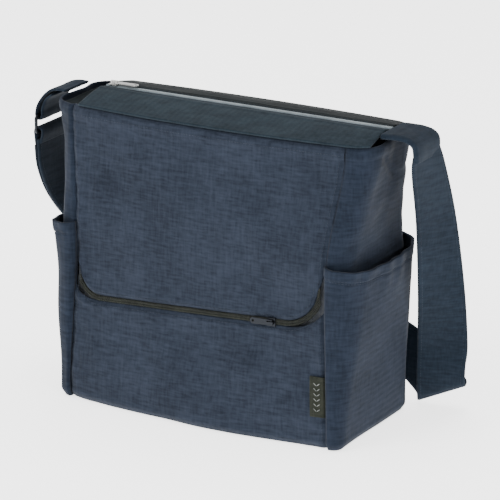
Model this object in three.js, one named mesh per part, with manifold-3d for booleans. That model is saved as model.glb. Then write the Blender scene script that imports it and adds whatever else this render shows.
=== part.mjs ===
// Soft-sided diaper bag: a sewn fabric body with a two-flap zipped top, a zipped
// front pocket, two open side pockets and one wide shoulder strap on a metal ring.
// Millimetres. +X is the bag's right, +Y its back, +Z up. The origin is the
// centre of the underside of the base.

import * as THREE from 'three';
import { mergeVertices } from 'three/addons/utils/BufferGeometryUtils.js';
import Module from 'manifold-3d';

const manifoldLibrary = await Module();
manifoldLibrary.setup();

// ---------------------------------------------------------------- driving sizes

const RIM_HEIGHT = 328;          // top edge of the sewn walls
const FABRIC = 2.4;              // one padded fabric wall
const SEAM_GAP = 0.3;            // clearance where two pieces are sewn together
const BASE_THICKNESS = 2.5;
const BOARD_THICKNESS = 3;
const BOARD_HALF_WIDTH = 162;
const BOARD_FRONT = -58;
const BOARD_BACK = 70;
const BOARD_CORNER = 10;
const WALL_FOOT = BASE_THICKNESS + SEAM_GAP;

// Stops are [height, value]; values run smoothly between them.
const SEAM_HALF_WIDTH = [[0, 160], [190, 153], [RIM_HEIGHT, 166]];
const HALF_DEPTH = [[0, 79], [190, 73], [RIM_HEIGHT, 56]];
const CORNER_RADIUS = [[0, 14], [190, 25], [RIM_HEIGHT, 31]];
const FRONT_BOW = [[0, 12], [130, 0.8], [200, 0.8], [RIM_HEIGHT, 10]];
const BACK_BOW = [[0, 6], [RIM_HEIGHT, 6]];
const FRONT_POCKET_DEPTH = [[0, 14.5], [200, 14.5], [RIM_HEIGHT, 4]];

const TOP_ZIP_HEIGHT = RIM_HEIGHT + 10;
const TOP_FLAP_LEFT = -158;
const TOP_FLAP_RIGHT = 190;
const TOP_PULL_LENGTH = 32;
const FRONT_PULL_LENGTH = 26;
const PULL_HINGE_X = -1.2;
const PULL_HINGE_LIFT = 0.7;       // above the slider's outer face
const TOP_SLIDER_X = -147;

const FRONT_ZIP_HEIGHT = 127;    // at the middle of the bag
const FRONT_ZIP_TILT = 0.05;     // rise to the right
const FRONT_ZIP_RADIUS_LEFT = 28;
const FRONT_ZIP_RADIUS_RIGHT = 44;
const FRONT_ZIP_END_INSET = 4.5; // the zip stops this far short of the side seams
const LIP_HINGE_HEIGHT = 187;
const FRONT_SLIDER_X = 92;

const COIL_INNER = 0.8;          // half of the gap between the two zip coils
const COIL_OUTER = 3.0;
const COIL_THICKNESS = 2.2;
const COIL_TO_FABRIC = 3.3;
const SLIDER_CLEARANCE = 0.8;
const SLIDER_PLATE = 1.5;

const POCKET_HEIGHT = 203;
const POCKET_DIP = 8;
const POCKET_FLARE = 12;         // how far the pocket stands off at its top
const POCKET_CLEARANCE = 1.4;
const HEM_HEIGHT = 12;

const STRAP_WIDTH = 54;
const STRAP_THICKNESS = 3;
const STRAP_AXIS_HEIGHT = 334;
const TAB_ROOT_LEFT = 200.2;
const TAB_THICKNESS = 4.4;
const TAB_END = 212;             // the strap swings about X beyond this plane
const RING_X = -231;
const RING_TOP = 299;
const RING_BAR = 4;
const RING_DROP = 18;            // between the centres of its two long bars
const LOOP_CLEARANCE = 0.6;
const LOWER_LOOP_CLEARANCE = 2;    // wide enough for the ring to tip three degrees

// ---------------------------------------------------------------- materials

function cloth(color) {
  return new THREE.MeshStandardMaterial({ color, roughness: 0.92, metalness: 0 });
}

function metal(color) {
  return new THREE.MeshStandardMaterial({ color, roughness: 0.3, metalness: 0.9 });
}

const NAVY = 0x444d5c;
const DARK_NAVY = 0x333f4d;
const STRAP_BLUE = 0x2f3b49;
const BLACK_CLOTH = 0x2b3138;
const LINING_GREY = 0x6d747c;
const SILVER_COIL = 0xb4bec4;
const BRIGHT_METAL = 0xd8dad9;
const DARK_METAL = 0x3a3d40;
const DARK_COIL = 0x2f3437;
const BOARD_GREY = 0x3a3a3c;

// ---------------------------------------------------------------- solid helpers

function flipIfInsideOut(geometry) {
  const position = geometry.attributes.position;
  const index = geometry.index;
  const a = new THREE.Vector3();
  const b = new THREE.Vector3();
  const c = new THREE.Vector3();
  let volume = 0;
  for (let i = 0; i < index.count; i += 3) {
    a.fromBufferAttribute(position, index.getX(i));
    b.fromBufferAttribute(position, index.getX(i + 1));
    c.fromBufferAttribute(position, index.getX(i + 2));
    volume += a.dot(b.cross(c));
  }
  if (volume < 0) {
    const turned = [...index.array].reverse();
    geometry.setIndex(turned);
  }
  return geometry;
}

function indexedGeometry(points, index) {
  const geometry = new THREE.BufferGeometry();
  const values = points.flatMap((point) => [point.x, point.y, point.z]);
  geometry.setAttribute('position', new THREE.Float32BufferAttribute(values, 3));
  geometry.setIndex(index);
  return flipIfInsideOut(geometry);
}

// A closed sheet of fabric: place(across, along, face) gives a point of face 0 or 1.
function sheet(acrossSteps, alongSteps, place) {
  const columns = acrossSteps + 1;
  const layer = columns * (alongSteps + 1);
  const points = [];
  for (const face of [0, 1]) {
    for (let j = 0; j <= alongSteps; j += 1) {
      for (let i = 0; i <= acrossSteps; i += 1) {
        points.push(place(i / acrossSteps, j / alongSteps, face));
      }
    }
  }
  const index = [];
  const at = (i, j, face) => face * layer + j * columns + i;
  const quad = (a, b, c, d) => index.push(a, b, c, a, c, d);
  for (let j = 0; j < alongSteps; j += 1) {
    for (let i = 0; i < acrossSteps; i += 1) {
      quad(at(i, j, 0), at(i + 1, j, 0), at(i + 1, j + 1, 0), at(i, j + 1, 0));
      quad(at(i, j, 1), at(i, j + 1, 1), at(i + 1, j + 1, 1), at(i + 1, j, 1));
    }
  }
  const lastRow = alongSteps;
  for (let i = 0; i < acrossSteps; i += 1) {
    quad(at(i, 0, 0), at(i, 0, 1), at(i + 1, 0, 1), at(i + 1, 0, 0));
    quad(at(i, lastRow, 0), at(i + 1, lastRow, 0), at(i + 1, lastRow, 1), at(i, lastRow, 1));
  }
  const lastColumn = acrossSteps;
  for (let j = 0; j < alongSteps; j += 1) {
    quad(at(0, j, 0), at(0, j + 1, 0), at(0, j + 1, 1), at(0, j, 1));
    quad(at(lastColumn, j, 0), at(lastColumn, j, 1), at(lastColumn, j + 1, 1), at(lastColumn, j + 1, 0));
  }
  return indexedGeometry(points, index);
}

// A solid through rings of equal point counts, closed by a flat cap at each end.
function loft(rings) {
  const count = rings[0].length;
  const points = rings.flat();
  const index = [];
  for (let ring = 0; ring < rings.length - 1; ring += 1) {
    for (let i = 0; i < count; i += 1) {
      const next = (i + 1) % count;
      const a = ring * count + i;
      const b = ring * count + next;
      index.push(a, b, b + count, a, b + count, a + count);
    }
  }
  const last = (rings.length - 1) * count;
  for (let i = 1; i < count - 1; i += 1) {
    index.push(0, i + 1, i);
    index.push(last, last + i, last + i + 1);
  }
  return indexedGeometry(points, index);
}

function solid(geometry) {
  const bare = geometry.clone();
  bare.deleteAttribute('normal');
  bare.deleteAttribute('uv');
  const merged = mergeVertices(bare, 1e-4);
  return new manifoldLibrary.Manifold(new manifoldLibrary.Mesh({
    numProp: 3,
    vertProperties: Float32Array.from(merged.attributes.position.array),
    triVerts: Uint32Array.from(merged.index.array),
  }));
}

function geometryOf(body) {
  const result = body.getMesh();
  const geometry = new THREE.BufferGeometry();
  geometry.setAttribute('position', new THREE.Float32BufferAttribute(result.vertProperties, 3));
  geometry.setIndex([...result.triVerts]);
  return geometry;
}

function joined(...geometries) {
  return geometryOf(geometries.map(solid).reduce((sum, next) => sum.add(next)));
}

function block(sizeX, sizeY, sizeZ, x, y, z) {
  return new THREE.BoxGeometry(sizeX, sizeY, sizeZ).translate(x, y, z);
}

function vector(x, y, z) {
  return new THREE.Vector3(x, y, z);
}

// ---------------------------------------------------------------- body outline

function valueAt(stops, height) {
  const z = THREE.MathUtils.clamp(height, stops[0][0], stops.at(-1)[0]);
  const upper = Math.max(1, stops.findIndex(([stop]) => stop >= z));
  const [lowHeight, lowValue] = stops[upper - 1];
  const [highHeight, highValue] = stops[upper];
  const part = THREE.MathUtils.smoothstep(z, lowHeight, highHeight);
  return THREE.MathUtils.lerp(lowValue, highValue, part);
}

function between(from, to, part) {
  return THREE.MathUtils.lerp(from, to, part);
}

// Y of the front (side = -1) or back (side = 1) wall, measured from the middle.
function wallDepth(side, x, z) {
  const seam = valueAt(SEAM_HALF_WIDTH, z);
  const depth = valueAt(HALF_DEPTH, z);
  const past = Math.abs(x) - seam;
  if (past > 0) {
    const radius = valueAt(CORNER_RADIUS, z);
    return depth - radius + Math.sqrt(Math.max(0, radius ** 2 - past ** 2));
  }
  const bow = valueAt(side < 0 ? FRONT_BOW : BACK_BOW, z);
  return depth + bow * (1 - (x / seam) ** 2);
}

function frontPoint(x, z, inset) {
  return vector(x, -wallDepth(-1, x, z) + inset, z);
}

// A point of the side wall; around = 0 at the front seam and 1 at the back seam.
function sidePoint(hand, around, z, inset) {
  const seam = valueAt(SEAM_HALF_WIDTH, z);
  const depth = valueAt(HALF_DEPTH, z);
  const radius = valueAt(CORNER_RADIUS, z);
  const cornerShare = 0.3;
  const end = around < 0.5 ? -1 : 1;
  const fromEnd = Math.min(around, 1 - around);
  if (fromEnd < cornerShare) {
    const angle = (fromEnd / cornerShare) * Math.PI / 2;
    const x = seam + (radius - inset) * Math.sin(angle);
    const y = end * (depth - radius + (radius - inset) * Math.cos(angle));
    return vector(hand * x, y, z);
  }
  const straight = (around - cornerShare) / (1 - 2 * cornerShare);
  const y = between(-1, 1, straight) * (depth - radius);
  return vector(hand * (seam + radius - inset), y, z);
}

function roundedRing(halfWidth, frontY, backY, radius, z) {
  const shape = [];
  const corners = [[1, 1], [-1, 1], [-1, -1], [1, -1]];
  const cornerSteps = 4;
  corners.forEach(([signX, signY], quarter) => {
    const centreX = signX * (halfWidth - radius);
    const centreY = signY > 0 ? backY - radius : frontY + radius;
    for (let step = 0; step <= cornerSteps; step += 1) {
      const angle = (quarter + step / cornerSteps) * Math.PI / 2;
      shape.push(vector(centreX + radius * Math.cos(angle), centreY + radius * Math.sin(angle), z));
    }
  });
  return shape;
}

// ---------------------------------------------------------------- base

function baseRing(z, inset) {
  const ring = [];
  const frontSteps = 12;
  const sideSteps = 10;
  const seam = valueAt(SEAM_HALF_WIDTH, z);
  for (let step = 0; step < frontSteps; step += 1) {
    const x = between(-seam, seam, step / frontSteps);
    ring.push(frontPoint(x, z, inset));
  }
  for (let step = 0; step < sideSteps; step += 1) {
    ring.push(sidePoint(1, step / sideSteps, z, inset));
  }
  for (let step = 0; step < frontSteps; step += 1) {
    const x = between(seam, -seam, step / frontSteps);
    ring.push(vector(x, wallDepth(1, x, z) - inset, z));
  }
  for (let step = 0; step < sideSteps; step += 1) {
    ring.push(sidePoint(-1, 1 - step / sideSteps, z, inset));
  }
  return ring;
}

function bottomPanel() {
  return loft([baseRing(0, 3), baseRing(BASE_THICKNESS / 2, 0.6), baseRing(BASE_THICKNESS, 0)]);
}

function baseBoard() {
  const low = BASE_THICKNESS + SEAM_GAP;
  const ring = (z) => roundedRing(BOARD_HALF_WIDTH, BOARD_FRONT, BOARD_BACK, BOARD_CORNER, z);
  return loft([ring(low), ring(low + BOARD_THICKNESS)]);
}

// ---------------------------------------------------------------- walls

const WALL_ROWS = 8;
const WALL_COLUMNS = 12;
const SIDE_COLUMNS = 10;

function acrossSeams(part, z) {
  const reach = valueAt(SEAM_HALF_WIDTH, z) - SEAM_GAP / 2;
  return between(-reach, reach, part);
}

function backPanel() {
  return sheet(WALL_COLUMNS, WALL_ROWS, (across, along, face) => {
    const z = between(WALL_FOOT, RIM_HEIGHT, along);
    const x = acrossSeams(across, z);
    return vector(x, wallDepth(1, x, z) - face * FABRIC, z);
  });
}

function sidePanel(hand) {
  return sheet(SIDE_COLUMNS, WALL_ROWS, (across, along, face) => {
    const z = between(WALL_FOOT, RIM_HEIGHT, along);
    const point = sidePoint(hand, across, z, face * FABRIC);
    const seamSide = across === 0 || across === 1;
    point.x += seamSide ? hand * SEAM_GAP / 2 : 0;
    return point;
  });
}

// The wall between the front pocket and the main compartment.
function frontInnerPanel() {
  const reachPastSeam = 8;
  return sheet(WALL_COLUMNS, WALL_ROWS, (across, along, face) => {
    const z = between(WALL_FOOT, RIM_HEIGHT - 2, along);
    const x = between(-1, 1, across) * (valueAt(SEAM_HALF_WIDTH, z) + reachPastSeam * (1 - along));
    const seamX = THREE.MathUtils.clamp(x, -valueAt(SEAM_HALF_WIDTH, z), valueAt(SEAM_HALF_WIDTH, z));
    const inset = valueAt(FRONT_POCKET_DEPTH, z) + face * (FABRIC - 0.4);
    return vector(x, frontPoint(seamX, z, inset).y, z);
  });
}

function lining() {
  const thickness = 1;
  const sideInset = FABRIC + 5;
  const ring = (z, extra) => {
    const halfWidth = valueAt(SEAM_HALF_WIDTH, z) + valueAt(CORNER_RADIUS, z);
    const depth = valueAt(HALF_DEPTH, z);
    const front = -(depth - valueAt(FRONT_POCKET_DEPTH, z) - FABRIC - 1.2);
    const radius = Math.max(6, valueAt(CORNER_RADIUS, z) - sideInset);
    return roundedRing(halfWidth - sideInset - extra, front + extra, depth - sideInset - extra, radius - extra, z);
  };
  const foot = BASE_THICKNESS + BOARD_THICKNESS + 3 * SEAM_GAP;
  const top = RIM_HEIGHT - 20;
  const heights = [foot, 60, 120, 180, 240, top];
  const outer = loft(heights.map((z) => ring(z, 0)));
  const floor = foot + thickness;
  const inner = loft([floor, 60, 120, 180, 240, top + 1].map((z) => ring(z, thickness)));
  return geometryOf(solid(outer).subtract(solid(inner)));
}

// ---------------------------------------------------------------- front pocket

// Height of a line that runs beside the front zip; beside > 0 is above its middle.
function frontZipLine(x, beside) {
  const middle = FRONT_ZIP_HEIGHT + FRONT_ZIP_TILT * x;
  const radius = (x < 0 ? FRONT_ZIP_RADIUS_LEFT : FRONT_ZIP_RADIUS_RIGHT);
  const end = valueAt(SEAM_HALF_WIDTH, middle + radius) - FRONT_ZIP_END_INSET;
  const cornerX = end - radius;
  const cornerHeight = FRONT_ZIP_HEIGHT + FRONT_ZIP_TILT * Math.sign(x) * cornerX + radius;
  const past = Math.abs(x) - cornerX;
  if (past <= 0) {
    return middle + beside;
  }
  const reach = radius - beside;
  return cornerHeight - Math.sqrt(Math.max(0, reach ** 2 - past ** 2));
}

function frontZipReach(beside) {
  return valueAt(SEAM_HALF_WIDTH, 160) - FRONT_ZIP_END_INSET - beside;
}

// Spreads columns so that more of them fall on the rounded corners.
function crowdedAtEnds(part) {
  return Math.sin((part - 0.5) * Math.PI);
}

function frontLowerPanel() {
  return sheet(24, 5, (across, along, face) => {
    const topX = crowdedAtEnds(across) * (frontZipReach(0) - COIL_TO_FABRIC);
    const top = frontZipLine(topX, -COIL_TO_FABRIC) - 1;
    const z = between(WALL_FOOT, top, along);
    const x = crowdedAtEnds(across) * (valueAt(SEAM_HALF_WIDTH, z) - SEAM_GAP / 2);
    return frontPoint(x, z, face * FABRIC);
  });
}

function frontPocketLip() {
  return sheet(24, 3, (across, along, face) => {
    const x = crowdedAtEnds(across) * frontZipReach(COIL_TO_FABRIC);
    const z = between(frontZipLine(x, COIL_TO_FABRIC), LIP_HINGE_HEIGHT - SEAM_GAP, along);
    return frontPoint(x, z, face * FABRIC);
  });
}

function frontUpperPanel() {
  return sheet(WALL_COLUMNS, 5, (across, along, face) => {
    const z = between(LIP_HINGE_HEIGHT, RIM_HEIGHT, along);
    return frontPoint(acrossSeams(across, z) * 0.996, z, face * FABRIC);
  });
}

function frontZipCoil(side) {
  const near = side * COIL_INNER;
  const far = side * COIL_OUTER;
  const coilInset = 0.1;
  return sheet(1, 30, (across, along, face) => {
    const beside = between(near, far, across);
    const x = crowdedAtEnds(along) * Math.min(frontZipReach(beside), frontZipReach(0) - 1);
    return frontPoint(x, frontZipLine(x, beside), coilInset + face * COIL_THICKNESS);
  });
}

// ---------------------------------------------------------------- side pockets

function pocketTop(around) {
  return POCKET_HEIGHT - POCKET_DIP * Math.sin(Math.PI * around);
}

function pocketPoint(hand, around, z, face, thickness) {
  const flare = POCKET_FLARE * (z / POCKET_HEIGHT) ** 1.3;
  const standOff = POCKET_CLEARANCE + flare * Math.sin(Math.PI * around) ** 0.6;
  return sidePoint(hand, around, z, -(standOff + (1 - face) * thickness));
}

function sidePocket(hand) {
  return sheet(SIDE_COLUMNS, 6, (across, along, face) => {
    const z = between(WALL_FOOT, pocketTop(across) - HEM_HEIGHT - SEAM_GAP, along);
    return pocketPoint(hand, across, z, face, FABRIC);
  });
}

function pocketHem(hand) {
  const hemThickness = FABRIC + 0.8;
  return sheet(SIDE_COLUMNS, 1, (across, along, face) => {
    const z = between(pocketTop(across) - HEM_HEIGHT, pocketTop(across), along);
    return pocketPoint(hand, across, z, face, hemThickness);
  });
}

function wovenLabel() {
  const width = 17;
  const low = 37;
  const high = 81;
  return sheet(2, 3, (across, along, face) => {
    const z = between(low, high, along);
    const x = valueAt(SEAM_HALF_WIDTH, z) - 0.6 - width * (1 - across);
    return frontPoint(x, z, -0.4 - (1 - face) * 0.8);
  });
}

// ---------------------------------------------------------------- zipped top

function topFlap(side) {
  const rimClearance = 1;
  const lift = SEAM_GAP + COIL_THICKNESS / 2;
  return sheet(14, 5, (across, along, face) => {
    const x = between(TOP_FLAP_LEFT, TOP_FLAP_RIGHT, across);
    const rim = wallDepth(side, x, RIM_HEIGHT) - rimClearance;
    const y = side * between(rim, COIL_TO_FABRIC, along);
    const middle = between(RIM_HEIGHT + lift, TOP_ZIP_HEIGHT, Math.sin(along * Math.PI / 2));
    return vector(x, y, middle + (0.5 - face) * COIL_THICKNESS);
  });
}

function topZipCoil(side) {
  const start = TOP_FLAP_LEFT + 2;
  const end = TOP_FLAP_RIGHT + 2;
  const width = COIL_OUTER - COIL_INNER;
  const y = side * (COIL_INNER + COIL_OUTER) / 2;
  return block(end - start, width, COIL_THICKNESS, (start + end) / 2, y, TOP_ZIP_HEIGHT);
}

// Closes the gap between the zipped flaps' left end and the left side wall.
function leftEndGusset() {
  const outerX = -188;
  const innerX = TOP_FLAP_LEFT - 3;
  return sheet(6, 4, (across, along, face) => {
    const x = between(outerX, innerX, along);
    const y = between(-34, 34, across);
    const z = RIM_HEIGHT - 6 - 7 * Math.sin(along * Math.PI / 2);
    return vector(x, y, z - face * 1.5);
  });
}

// A slider on a straight zip, centred on the origin: the zip runs along X and its
// outer face looks up. The lower plate grips the coil on the -Y side only.
function zipSlider() {
  const length = 10;
  const half = COIL_THICKNESS / 2;
  const plate = SLIDER_PLATE;
  const clearance = SLIDER_CLEARANCE;
  const top = half + clearance + plate / 2;
  const upper = block(length, 9, plate, 0, 0, top);
  const postHeight = COIL_THICKNESS + 2 * clearance + plate;
  const post = block(length / 2, 0.9, postHeight, 0, 0, 0);
  const lower = block(length, 4.8, plate, 0, -1.95, -top);
  const deck = top + plate / 2;
  const legs = [-3.4, 3.4].map((x) => block(1.2, 2.2, 2.6, x, 0, deck + 1.2));
  const crossbar = block(8, 2.2, 1, 0, 0, deck + 2.9);
  return joined(upper, post, lower, ...legs, crossbar);
}

const SLIDER_DECK = COIL_THICKNESS / 2 + SLIDER_CLEARANCE + SLIDER_PLATE;

// The pull tab hooks round the slider's crossbar and lies along +X.
function zipPull(length) {
  const thickness = 1.2;
  const outline = new THREE.Shape();
  outline.moveTo(-1.2, -3);
  outline.lineTo(length - 4, -3.6);
  outline.absarc(length - 4, 0, 3.6, -Math.PI / 2, Math.PI / 2, false);
  outline.lineTo(-1.2, 3);
  outline.closePath();
  const hook = new THREE.Path();
  hook.moveTo(0, -1.7);
  hook.lineTo(5.8, -1.7);
  hook.lineTo(5.8, 1.7);
  hook.lineTo(0, 1.7);
  hook.closePath();
  const hole = new THREE.Path();
  hole.absarc(length - 4, 0, 1.4, 0, 2 * Math.PI, true);
  outline.holes.push(hook, hole);
  const settings = { depth: thickness, bevelEnabled: false, curveSegments: 8 };
  return new THREE.ExtrudeGeometry(outline, settings);
}

// ---------------------------------------------------------------- shoulder strap

// Each station holds the strap's two edges: [inner or lower edge, outer or upper edge].
// The strap starts at the right tab, drops outside the right pocket, turns over in a
// slanting fold just above the ground behind the corner, and climbs behind the back
// wall to the ring on the left.
const STRAP_STATIONS = [
  [[232, -27, 324], [232, 27, 324]],
  [[226, -20, 300], [238, 32, 300]],
  [[217, 10, 235], [239, 59, 235]],
  [[206, 39, 150], [241, 80, 150]],
  [[189, 74, 80], [239, 96, 80]],
  [[184, 84, 34], [236, 98, 52]],
  [[182, 90, 10], [234, 101, 34]],
  [[179, 97, 4], [232, 108, 27]],
  [[174, 101, 12], [226, 113, 36]],
  [[148, 101, 33], [182, 110, 75]],
  [[103, 97, 58], [122, 100, 108]],
  [[45, 95, 74], [58, 95, 126]],
  [[-30, 94, 88], [-20, 93, 141]],
  [[-100, 94, 101], [-90, 92, 154]],
  [[-160, 95, 116], [-147, 93, 168]],
  [[-205, 80, 136], [-182, 80, 184]],
  [[-232, 42, 158], [-209, 68, 199]],
  [[-238, 8, 196], [-221, 51, 224]],
  [[-233, -20, 238], [-229, 32, 246]],
  [[-231, -27, 272], [-231, 27, 272]],
];

function stripEdges(stations) {
  return [0, 1].map((edge) => {
    const points = stations.map((station) => vector(...station[edge]));
    return new THREE.CatmullRomCurve3(points, false, 'centripetal');
  });
}

function frameOnStrip(edges, along) {
  const [inner, outer] = edges.map((edge) => edge.getPoint(along));
  const span = outer.clone().sub(inner);
  const forward = edges[0].getTangent(along).add(edges[1].getTangent(along));
  const outward = forward.clone().cross(span).normalize();
  return { inner, outer, outward, forward: forward.normalize() };
}

// A flat strap between two edge curves; lift moves it off their surface.
function strip(edges, steps, thickness, lift, from = 0, to = 1) {
  return sheet(2, steps, (across, along, face) => {
    const { inner, outer, outward } = frameOnStrip(edges, between(from, to, along));
    const point = inner.clone().lerp(outer, across);
    return point.addScaledVector(outward, lift + (0.5 - face) * thickness);
  });
}

const strapEdges = stripEdges(STRAP_STATIONS);
const ADJUSTER_ALONG = 12.4 / (STRAP_STATIONS.length - 1);
const LAYER_LIFT = STRAP_THICKNESS + 0.8;

// A rectangular keeper round the strap and its returning end layer.
function strapAdjuster() {
  const length = 24;
  const wall = 3;
  const clearWidth = STRAP_WIDTH + 2.6;
  const clearDepth = STRAP_THICKNESS + LAYER_LIFT + 2;
  const outline = new THREE.Shape();
  outline.moveTo(-clearWidth / 2 - wall, -clearDepth / 2 - wall);
  outline.lineTo(clearWidth / 2 + wall, -clearDepth / 2 - wall);
  outline.lineTo(clearWidth / 2 + wall, clearDepth / 2 + wall);
  outline.lineTo(-clearWidth / 2 - wall, clearDepth / 2 + wall);
  outline.closePath();
  const slot = new THREE.Path();
  slot.moveTo(-clearWidth / 2, -clearDepth / 2);
  slot.lineTo(-clearWidth / 2, clearDepth / 2);
  slot.lineTo(clearWidth / 2, clearDepth / 2);
  slot.lineTo(clearWidth / 2, -clearDepth / 2);
  slot.closePath();
  outline.holes.push(slot);
  const geometry = new THREE.ExtrudeGeometry(outline, { depth: length, bevelEnabled: false });
  return geometry.translate(0, 0, -length / 2);
}

// Turns the keeper's X to the strap's width, Y outward and Z along the strap.
function placeOnStrap(object) {
  const frame = frameOnStrip(strapEdges, ADJUSTER_ALONG);
  const width = frame.outer.clone().sub(frame.inner).normalize();
  const along = width.clone().cross(frame.outward).normalize();
  const turn = new THREE.Matrix4().makeBasis(width, frame.outward, along);
  object.quaternion.setFromRotationMatrix(turn);
  object.position.copy(frame.inner).lerp(frame.outer, 0.5);
  object.position.addScaledVector(frame.outward, LAYER_LIFT / 2);
}

// ---------------------------------------------------------------- tabs and ring

// A band in the XZ plane, extruded across the strap's width.
function bandAlongY(outline, width) {
  const geometry = new THREE.ExtrudeGeometry(outline, { depth: width, bevelEnabled: false, curveSegments: 10 });
  return geometry.rotateX(Math.PI / 2).translate(0, width / 2, 0);
}

function tabStub(hand) {
  const end = TAB_END - SEAM_GAP;
  const height = hand < 0 ? STRAP_AXIS_HEIGHT - 2.4 : STRAP_AXIS_HEIGHT + 2;
  const root = hand < 0 ? TAB_ROOT_LEFT : TOP_FLAP_RIGHT + 4.5;
  return block(end - root, STRAP_WIDTH, TAB_THICKNESS, hand * (root + end) / 2, 0, height);
}

// Rounded fabric cap over the strap's sewn end, on the right.
function rightStrapTab() {
  const outline = new THREE.Shape();
  outline.moveTo(TAB_END, 334);
  outline.lineTo(222, 333.4);
  outline.quadraticCurveTo(229.5, 332, 230, 325);
  outline.lineTo(234.2, 325);
  outline.quadraticCurveTo(234.4, 336.6, 223, 338);
  outline.lineTo(TAB_END, 338.4);
  outline.closePath();
  return bandAlongY(outline, STRAP_WIDTH);
}

function ringLoopOutline(centreX, centreZ, clearance, tail) {
  const inner = RING_BAR / 2 + clearance;
  const outer = inner + STRAP_THICKNESS - 0.6;
  const outline = new THREE.Shape();
  tail(outline, outer);
  const hole = new THREE.Path();
  hole.absarc(centreX, centreZ, inner, 0, 2 * Math.PI, true);
  outline.holes.push(hole);
  return outline;
}

// Folded tab from the left tab stub, out and down round the ring's top bar.
function leftRingTab() {
  const outline = ringLoopOutline(RING_X, RING_TOP, LOOP_CLEARANCE, (shape, outer) => {
    shape.moveTo(-TAB_END, 333.8);
    shape.lineTo(-218, 332);
    shape.quadraticCurveTo(RING_X - outer + 3, 326, RING_X - outer, RING_TOP);
    shape.absarc(RING_X, RING_TOP, outer, Math.PI, 2 * Math.PI, false);
    shape.quadraticCurveTo(RING_X + outer, 318, -218, 327.4);
    shape.lineTo(-TAB_END, 329.4);
    shape.closePath();
  });
  return bandAlongY(outline, STRAP_WIDTH - 4);
}

// The strap's sewn loop under the ring's lower bar.
function strapRingLoop() {
  const centreZ = RING_TOP - RING_DROP;
  const outline = ringLoopOutline(RING_X, centreZ, LOWER_LOOP_CLEARANCE, (shape, outer) => {
    shape.moveTo(RING_X + outer, centreZ);
    shape.absarc(RING_X, centreZ, outer, 0, Math.PI, false);
    shape.lineTo(RING_X - 3.4, 272.4);
    shape.lineTo(RING_X + 1.6, 272.4);
    shape.closePath();
  });
  return bandAlongY(outline, STRAP_WIDTH - 4);
}

function strapRing() {
  const halfLong = STRAP_WIDTH / 2 + RING_BAR / 2;
  const corner = 3;
  const top = RING_DROP / 2;
  const roundedRectangle = (path, grow) => {
    const y = halfLong + grow;
    const z = top + grow;
    const radius = corner + grow;
    path.moveTo(y - radius, -z);
    path.absarc(y - radius, -z + radius, radius, -Math.PI / 2, 0, false);
    path.absarc(y - radius, z - radius, radius, 0, Math.PI / 2, false);
    path.absarc(-y + radius, z - radius, radius, Math.PI / 2, Math.PI, false);
    path.absarc(-y + radius, -z + radius, radius, Math.PI, 1.5 * Math.PI, false);
    path.closePath();
    return path;
  };
  const outline = roundedRectangle(new THREE.Shape(), RING_BAR / 2);
  outline.holes.push(roundedRectangle(new THREE.Path(), -RING_BAR / 2));
  const thickness = RING_BAR - 0.8;
  const geometry = new THREE.ExtrudeGeometry(outline, { depth: thickness, bevelEnabled: false, curveSegments: 4 });
  return geometry.translate(0, 0, -thickness / 2);
}

// ---------------------------------------------------------------- assembly

const bag = new THREE.Group();

function addPiece(name, geometry, material, parent = bag) {
  const piece = new THREE.Mesh(geometry, material);
  piece.name = name;
  parent.add(piece);
  return piece;
}

addPiece('bottom_panel', bottomPanel(), cloth(DARK_NAVY));
addPiece('base_board', baseBoard(), cloth(BOARD_GREY));
addPiece('back_panel', backPanel(), cloth(NAVY));
addPiece('lining', lining(), cloth(LINING_GREY));
addPiece('front_inner_panel', frontInnerPanel(), cloth(LINING_GREY));
addPiece('front_lower_panel', frontLowerPanel(), cloth(NAVY));
addPiece('front_upper_panel', frontUpperPanel(), cloth(NAVY));
addPiece('front_pocket_lip', frontPocketLip(), cloth(NAVY));
addPiece('front_zip_lower_coil', frontZipCoil(-1), cloth(DARK_COIL));
addPiece('front_zip_upper_coil', frontZipCoil(1), cloth(DARK_COIL));
addPiece('woven_label', wovenLabel(), cloth(BLACK_CLOTH));

for (const [side, hand] of [['left', -1], ['right', 1]]) {
  addPiece(`${side}_side_panel`, sidePanel(hand), cloth(DARK_NAVY));
  addPiece(`${side}_side_pocket`, sidePocket(hand), cloth(DARK_NAVY));
  addPiece(`${side}_pocket_hem`, pocketHem(hand), cloth(DARK_NAVY));
  addPiece(`${side}_tab_stub`, tabStub(hand), cloth(STRAP_BLUE));
}

addPiece('left_end_gusset', leftEndGusset(), cloth(BLACK_CLOTH));
addPiece('top_front_flap', topFlap(-1), cloth(NAVY));
addPiece('top_back_flap', topFlap(1), cloth(BLACK_CLOTH));
addPiece('top_zip_front_coil', topZipCoil(-1), cloth(SILVER_COIL));
addPiece('top_zip_back_coil', topZipCoil(1), cloth(SILVER_COIL));

const topSlider = new THREE.Group();
topSlider.position.set(TOP_SLIDER_X, 0, TOP_ZIP_HEIGHT);
addPiece('top_zip_slider', zipSlider(), metal(BRIGHT_METAL), topSlider);
const topPull = addPiece('top_zip_pull', zipPull(TOP_PULL_LENGTH), metal(BRIGHT_METAL), topSlider);
topPull.position.set(PULL_HINGE_X, 0, SLIDER_DECK + PULL_HINGE_LIFT);
bag.add(topSlider);

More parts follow.
